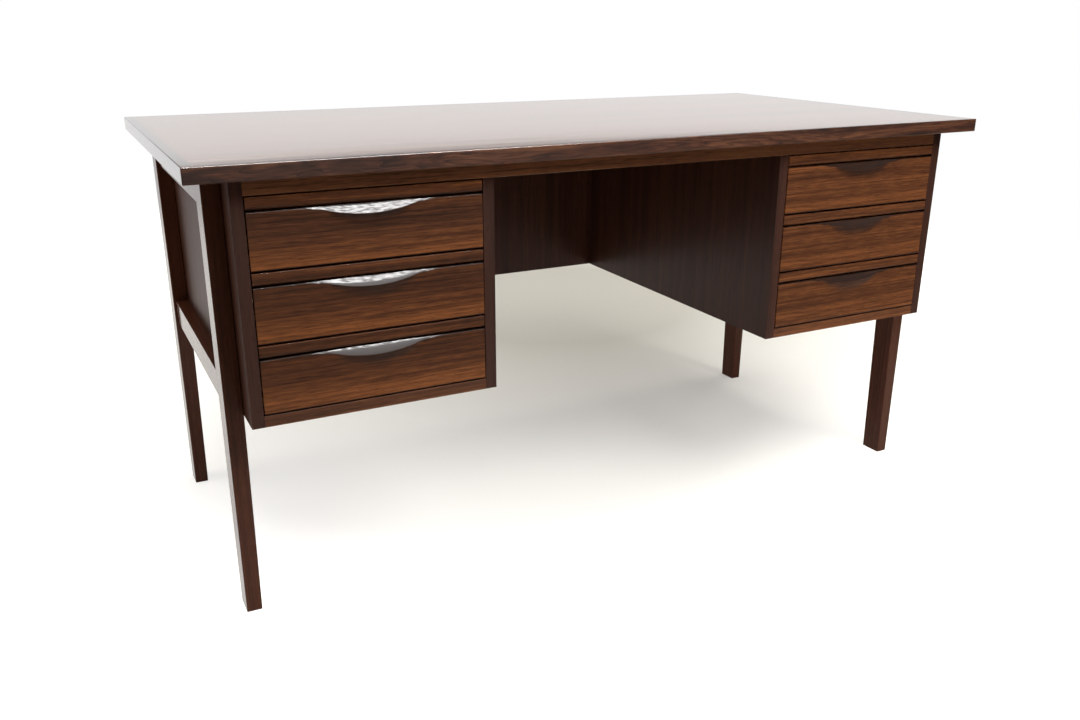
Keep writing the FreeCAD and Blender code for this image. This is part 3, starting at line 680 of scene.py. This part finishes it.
class DESK_OT_inside(bpy.types.Operator):
    """Finishes the drawer boxes, the runners, the cleats and the loose tenons"""
    bl_idname = "desk.inside"
    bl_label = "Inside"

    def execute(self, context):
        finish = context.scene.desk_finish
        side = plain_wood("oak_drawer_side", Y, finish.oak_light, finish.oak_deep, roughness=0.45)
        back = plain_wood("oak_drawer_back", X, finish.oak_light, finish.oak_deep, roughness=0.45)
        for drawer in DRAWERS:
            for node in ("_left_side", "_right_side"):
                dress(drawer + node, side, finish.edge_round)
            for node in ("_back", "_bottom"):
                dress(drawer + node, back, finish.edge_round)
        beech = plain_wood("beech_runner", Y, finish.beech, finish.oak_deep, roughness=0.5)
        for hand in HANDS:
            for node in ("_outer_runners", "_inner_runners"):
                dress(hand + node, beech, finish.edge_round)
        dress("top_cleats", beech, finish.edge_round)
        dress("loose_tenons", beech)
        return {"FINISHED"}


# The studio

# The photo's camera: sensor and lens in millimetres, place in metres, turns in degrees
SENSOR_WIDTH = 36.0
LENS = 32.584
CAMERA_PLACE = (-0.9187, -1.7470, 0.9354)
CAMERA_YAW = 27.120
CAMERA_PITCH = -19.424
CAMERA_ROLL = 0.164

# The floor, and the reach from its middle over which it fades into the white round it
FLOOR_HALF = 3.2
FLOOR_MIDDLE = (0.2, 1.2)
FLOOR_FADE = (0.6, 0.95)
# Painted shadow on the floor behind the desk, where less white is added: an ellipse, and the reach from its
# middle over which the painted shadow fades
SHADE_MIDDLE = (0.6, 1.15)
SHADE_HALF = (0.85, 0.85)
SHADE_FADE = (0.55, 2.0)
# Painted shadow on the floor under the desk, and what is left there of the floor's lift
FOOT_MIDDLE = (0.0, 0.24)
FOOT_HALF = (0.75, 0.57)
FOOT_FADE = (0.85, 1.28)
FOOT_LIFT = 0.71
# What polish mirrors is white towards the back and dim towards the front
WHITE_SIDE = (0.0, 1.0, 0.0)
WHITE_FADE = (-0.1, 0.3)
FRONT_LEVEL = 0.06
# Up the white wall behind the desk, whose upper edge falls a little to the right, and the level above it
WALL_TOP = (0.055, 0.0, 1.0)
WALL_EDGE = (0.143, 0.148)
ABOVE_LEVEL = 0.1

# Lights: place, the point that they face, width and length
KEY = ((0.6, -1.75, 2.6), (0.0, -0.2, 0.45), (1.6, 1.2))
CEILING = ((0.0, 0.0, 3.0), (0.0, 0.0, 0.0), (3.0, 2.5))
SHINE = ((0.1, -1.485, 2.5), (0.1, -1.485, 0.0), (1.6, 1.23))
FILLS = {"left_fill": (-2.5, 0.6, 1.8), "right_fill": (2.5, 0.6, 1.8), "back_fill": (0.0, 2.7, 1.8)}
FILL_TARGET = (0.0, 0.0, 0.4)
FILL_SIZE = (1.8, 1.2)


def reach_from(tree, place, middle, half):
    """How far a place on the floor is from the middle of an ellipse: 1 on the ellipse."""
    centred = add_node(tree, "ShaderNodeMapping", {
        "Vector": place, "Scale": (1 / half[0], 1 / half[1], 1.0),
        "Location": (-middle[0] / half[0], -middle[1] / half[1], 0.0)}).outputs["Vector"]
    return add_node(tree, "ShaderNodeVectorMath", {0: centred}, operation="LENGTH").outputs["Value"]


def eye_rays(tree):
    """The kinds of a ray, and whether it comes from the eye, straight or through something clear."""
    path = add_node(tree, "ShaderNodeLightPath").outputs
    seen = add_node(tree, "ShaderNodeMath", {
        0: path["Is Camera Ray"], 1: path["Is Transmission Ray"]}, operation="MAXIMUM")
    return path, seen.outputs["Value"]


def floor_material(studio):
    """Matt white studio paint, which fades out into the white round it at its rim, and has less white added
    behind and under the desk as a painted shadow.
    """
    material, tree = new_material("studio_paint")
    place = add_node(tree, "ShaderNodeTexCoord").outputs["Object"]
    shown = add_node(tree, "ShaderNodeMapRange", {
        "Value": reach_from(tree, place, FLOOR_MIDDLE, (FLOOR_HALF, FLOOR_HALF)),
        "From Min": FLOOR_FADE[0], "From Max": FLOOR_FADE[1], "To Min": 1.0, "To Max": 0.0},
        interpolation_type="SMOOTHSTEP").outputs["Result"]
    paint = add_node(tree, "ShaderNodeBsdfDiffuse", {"Color": studio.floor_colour})
    path, seen = eye_rays(tree)
    # Painted shadow: the added white falls away behind the desk and under it
    open_floor = add_node(tree, "ShaderNodeMapRange", {
        "Value": reach_from(tree, place, SHADE_MIDDLE, SHADE_HALF),
        "From Min": SHADE_FADE[0], "From Max": SHADE_FADE[1], "To Max": studio.floor_lift})
    clear_floor = add_node(tree, "ShaderNodeMapRange", {
        "Value": reach_from(tree, place, FOOT_MIDDLE, FOOT_HALF),
        "From Min": FOOT_FADE[0], "From Max": FOOT_FADE[1], "To Min": FOOT_LIFT})
    lift = add_node(tree, "ShaderNodeMath", {
        0: seen, 1: path["Is Glossy Ray"]}, operation="MAXIMUM").outputs["Value"]
    for share in (open_floor, clear_floor):
        lift = add_node(tree, "ShaderNodeMath", {
            0: lift, 1: share.outputs["Result"]}, operation="MULTIPLY").outputs["Value"]
    glow = add_node(tree, "ShaderNodeEmission", {"Color": grey(1.0), "Strength": lift})
    lit = add_node(tree, "ShaderNodeAddShader", {0: paint.outputs["BSDF"], 1: glow.outputs["Emission"]})
    clear = add_node(tree, "ShaderNodeBsdfTransparent")
    mixed = add_node(tree, "ShaderNodeMixShader", {
        0: shown, 1: clear.outputs["BSDF"], 2: lit.outputs["Shader"]})
    add_node(tree, "ShaderNodeOutputMaterial", {"Surface": mixed.outputs["Shader"]})
    return material


def white_world(ambient):
    """A studio that is white to the eye all round, and to polish has a low white wall behind the desk."""
    world = bpy.data.worlds.new("white_studio")
    world.use_nodes = True
    tree = world.node_tree
    tree.nodes.clear()
    path, seen = eye_rays(tree)
    way = add_node(tree, "ShaderNodeTexCoord").outputs["Generated"]
    back = add_node(tree, "ShaderNodeVectorMath", {0: way, 1: WHITE_SIDE}, operation="DOT_PRODUCT")
    behind = add_node(tree, "ShaderNodeMapRange", {
        "Value": back.outputs["Value"], "From Min": WHITE_FADE[0], "From Max": WHITE_FADE[1],
        "To Min": FRONT_LEVEL}, interpolation_type="SMOOTHSTEP")
    up = add_node(tree, "ShaderNodeVectorMath", {0: way, 1: WALL_TOP}, operation="DOT_PRODUCT")
    wall = add_node(tree, "ShaderNodeMapRange", {
        "Value": up.outputs["Value"], "From Min": WALL_EDGE[0], "From Max": WALL_EDGE[1],
        "To Min": 1.0, "To Max": ABOVE_LEVEL}, interpolation_type="SMOOTHSTEP")
    mirrored = path["Is Glossy Ray"]
    for share in (wall, behind):
        mirrored = add_node(tree, "ShaderNodeMath", {
            0: mirrored, 1: share.outputs["Result"]}, operation="MULTIPLY").outputs["Value"]
    not_mirrored = add_node(tree, "ShaderNodeMath", {0: 1.0, 1: path["Is Glossy Ray"]}, operation="SUBTRACT")
    strength = add_node(tree, "ShaderNodeMath", {
        0: not_mirrored.outputs["Value"], 1: ambient}, operation="MULTIPLY").outputs["Value"]
    for level in (seen, mirrored):
        strength = add_node(tree, "ShaderNodeMath", {
            0: strength, 1: level}, operation="MAXIMUM").outputs["Value"]
    light = add_node(tree, "ShaderNodeBackground", {"Color": grey(1.0), "Strength": strength})
    add_node(tree, "ShaderNodeOutputWorld", {"Surface": light.outputs["Background"]})
    return world


def soft_light(name, place, target, size, watts, **visible):
    """A rectangular soft light that faces a point, shown or hidden to kinds of rays."""
    lamp = bpy.data.lights.new(name, "AREA")
    lamp.shape = "RECTANGLE"
    lamp.size, lamp.size_y = size
    lamp.energy = watts
    light = bpy.data.objects.new(name, lamp)
    light.location = place
    light.rotation_euler = (Vector(target) - Vector(place)).to_track_quat("-Z", "Y").to_euler()
    for ray, shown in visible.items():
        setattr(light, "visible_" + ray, shown)
    bpy.context.scene.collection.objects.link(light)


def studio_floor(studio):
    """A square of painted floor under the desk."""
    corners = np.array([(-1, -1), (1, -1), (1, 1), (-1, 1)]) * FLOOR_HALF + np.array(FLOOR_MIDDLE)
    mesh = bpy.data.meshes.new("studio_floor")
    mesh.from_pydata([(x, y, 0.0) for x, y in corners.tolist()], [], [(0, 1, 2, 3)])
    mesh.materials.append(floor_material(studio))
    floor = bpy.data.objects.new("studio_floor", mesh)
    bpy.context.scene.collection.objects.link(floor)


def photo_camera():
    """The camera at the photo's place, with the photo's lens."""
    lens = bpy.data.cameras.new("photo_camera")
    lens.sensor_width = SENSOR_WIDTH
    lens.lens = LENS
    camera = bpy.data.objects.new("photo_camera", lens)
    camera.matrix_world = (Matrix.Translation(CAMERA_PLACE)
                           @ Matrix.Rotation(math.radians(-CAMERA_YAW), 4, "Z")
                           @ Matrix.Rotation(math.radians(90 + CAMERA_PITCH), 4, "X")
                           @ Matrix.Rotation(math.radians(CAMERA_ROLL), 4, "Z"))
    bpy.context.scene.collection.objects.link(camera)
    return camera


class DESK_OT_studio(bpy.types.Operator):
    """Makes the floor, the white surroundings, the lights and the camera"""
    bl_idname = "desk.studio"
    bl_label = "Studio"

    def execute(self, context):
        scene = context.scene
        studio = scene.desk_studio
        studio_floor(studio)
        scene.world = white_world(studio.ambient)
        soft_light("key_light", *KEY, studio.key_power, glossy=False, camera=False)
        soft_light("ceiling_light", *CEILING, studio.ceiling_power, glossy=False, camera=False)
        for name, place in FILLS.items():
            soft_light(name, place, FILL_TARGET, FILL_SIZE, studio.fill_power, glossy=False, camera=False)
        soft_light("overhead_shine", *SHINE, studio.shine, diffuse=False, camera=False)
        scene.camera = photo_camera()
        scene.view_settings.view_transform = "Standard"
        return {"FINISHED"}


class DESK_PT_panel(bpy.types.Panel):
    """Lists the steps that dress the desk"""
    bl_idname = "DESK_PT_panel"
    bl_label = "Kneehole desk"
    bl_space_type = "VIEW_3D"
    bl_region_type = "UI"
    bl_category = "Desk"

    def draw(self, context):
        for step in STEPS:
            self.layout.operator(step.bl_idname)


STEPS = (DESK_OT_drawer_fronts, DESK_OT_top, DESK_OT_carcass, DESK_OT_end_frames, DESK_OT_inside,
         DESK_OT_studio)
SETTINGS = {"desk_fronts": DeskFrontSizes, "desk_finish": DeskFinish, "desk_studio": DeskStudio}


def register():
    """Registers the settings, the steps and the panel."""
    for name, group in SETTINGS.items():
        bpy.utils.register_class(group)
        setattr(bpy.types.Scene, name, bpy.props.PointerProperty(type=group))
    for step in STEPS + (DESK_PT_panel,):
        bpy.utils.register_class(step)


def unregister():
    """Takes the panel, the steps and the settings away again."""
    for step in reversed(STEPS + (DESK_PT_panel,)):
        bpy.utils.unregister_class(step)
    for name, group in SETTINGS.items():
        delattr(bpy.types.Scene, name)
        bpy.utils.unregister_class(group)


def main():
    """Dresses the desk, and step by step."""
    register()
    bpy.ops.desk.drawer_fronts()
    bpy.ops.desk.top()
    bpy.ops.desk.carcass()
    bpy.ops.desk.end_frames()
    bpy.ops.desk.inside()
    bpy.ops.desk.studio()


if __name__ == "__main__":
    main()
